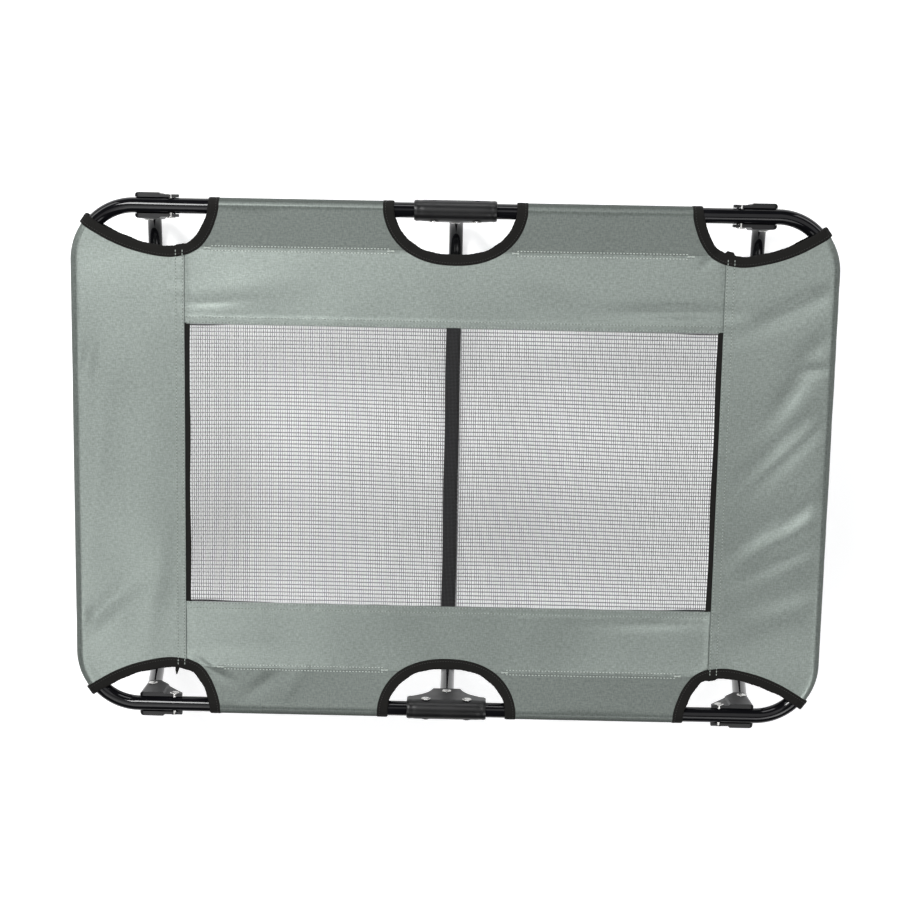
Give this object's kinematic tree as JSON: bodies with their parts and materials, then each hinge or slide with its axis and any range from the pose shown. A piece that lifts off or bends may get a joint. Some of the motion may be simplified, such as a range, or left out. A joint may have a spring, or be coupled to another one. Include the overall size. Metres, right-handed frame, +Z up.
{
  "type": "folding raised dog bed",
  "caption": "Raised folding dog bed: a tube frame on U-shaped legs, with a stretched fabric cover round a mesh window and open hand-holds.",
  "frame": {"origin": "on the floor, under the middle of the bed", "axes": "+X along the long side, +Y towards the rear rail, +Z up"},
  "size_m": [0.9032, 0.636, 0.2123],
  "materials": {
    "tube": "gloss black powder coat",
    "bracket": "satin black moulded",
    "rivet": "bright nickel",
    "cover_cloth": "sage grey-green plain weave",
    "mesh": "open black mesh",
    "binding": "ribbed black tape",
    "webbing": "black diamond webbing"
  },
  "bodies": {
    "centre": {"centre_bracket_rear": "bracket", "centre_leg_rivet_rear": "rivet", "centre_bracket_front": "bracket", "centre_leg_rivet_front": "rivet", "centre_leg": "tube", "centre_strap": "webbing", "hinge_rivet_left_rear": "rivet", "hinge_rivet_left_front": "rivet", "hinge_rivet_right_rear": "rivet", "hinge_rivet_right_front": "rivet"},
    "left_half": {"left_frame_tube": "tube", "end_bracket_left_rear": "bracket", "rail_rivet_left_rear": "rivet", "leg_rivet_left_rear": "rivet", "side_panel_rear_left": "cover_cloth", "corner_binding_left_rear": "binding", "grip_binding_rear_left": "binding", "end_bracket_left_front": "bracket", "rail_rivet_left_front": "rivet", "leg_rivet_left_front": "rivet", "side_panel_front_left": "cover_cloth", "corner_binding_left_front": "binding", "grip_binding_front_left": "binding", "end_panel_left": "cover_cloth", "mesh_left": "mesh"},
    "right_half": {"right_frame_tube": "tube", "end_bracket_right_rear": "bracket", "rail_rivet_right_rear": "rivet", "leg_rivet_right_rear": "rivet", "side_panel_rear_right": "cover_cloth", "corner_binding_right_rear": "binding", "grip_binding_rear_right": "binding", "end_bracket_right_front": "bracket", "rail_rivet_right_front": "rivet", "leg_rivet_right_front": "rivet", "side_panel_front_right": "cover_cloth", "corner_binding_right_front": "binding", "grip_binding_front_right": "binding", "end_panel_right": "cover_cloth", "mesh_right": "mesh"},
    "left_leg": {"left_leg": "tube"},
    "right_leg": {"right_leg": "tube"}
  },
  "joints": [
    {"name": "left_fold", "type": "hinge", "parent": "centre", "child": "left_half", "pos_m": [-0.025, 0, 0.2], "axis": [0, -1, 0], "range_deg": [0, 78]},
    {"name": "right_fold", "type": "hinge", "parent": "centre", "child": "right_half", "pos_m": [0.025, 0, 0.2], "axis": [0, 1, 0], "range_deg": [0, 78]},
    {"name": "left_leg_fold", "type": "hinge", "parent": "left_half", "child": "left_leg", "pos_m": [-0.366, 0, 0.167], "axis": [0, -1, 0], "range_deg": [0, 99.5]},
    {"name": "right_leg_fold", "type": "hinge", "parent": "right_half", "child": "right_leg", "pos_m": [0.366, 0, 0.167], "axis": [0, 1, 0], "range_deg": [0, 99.5]}
  ],
  "couplings": [
    {"joint": "left_leg_fold", "follows": "left_fold", "ratio": 1.27},
    {"joint": "right_leg_fold", "follows": "right_fold", "ratio": 1.27}
  ]
}
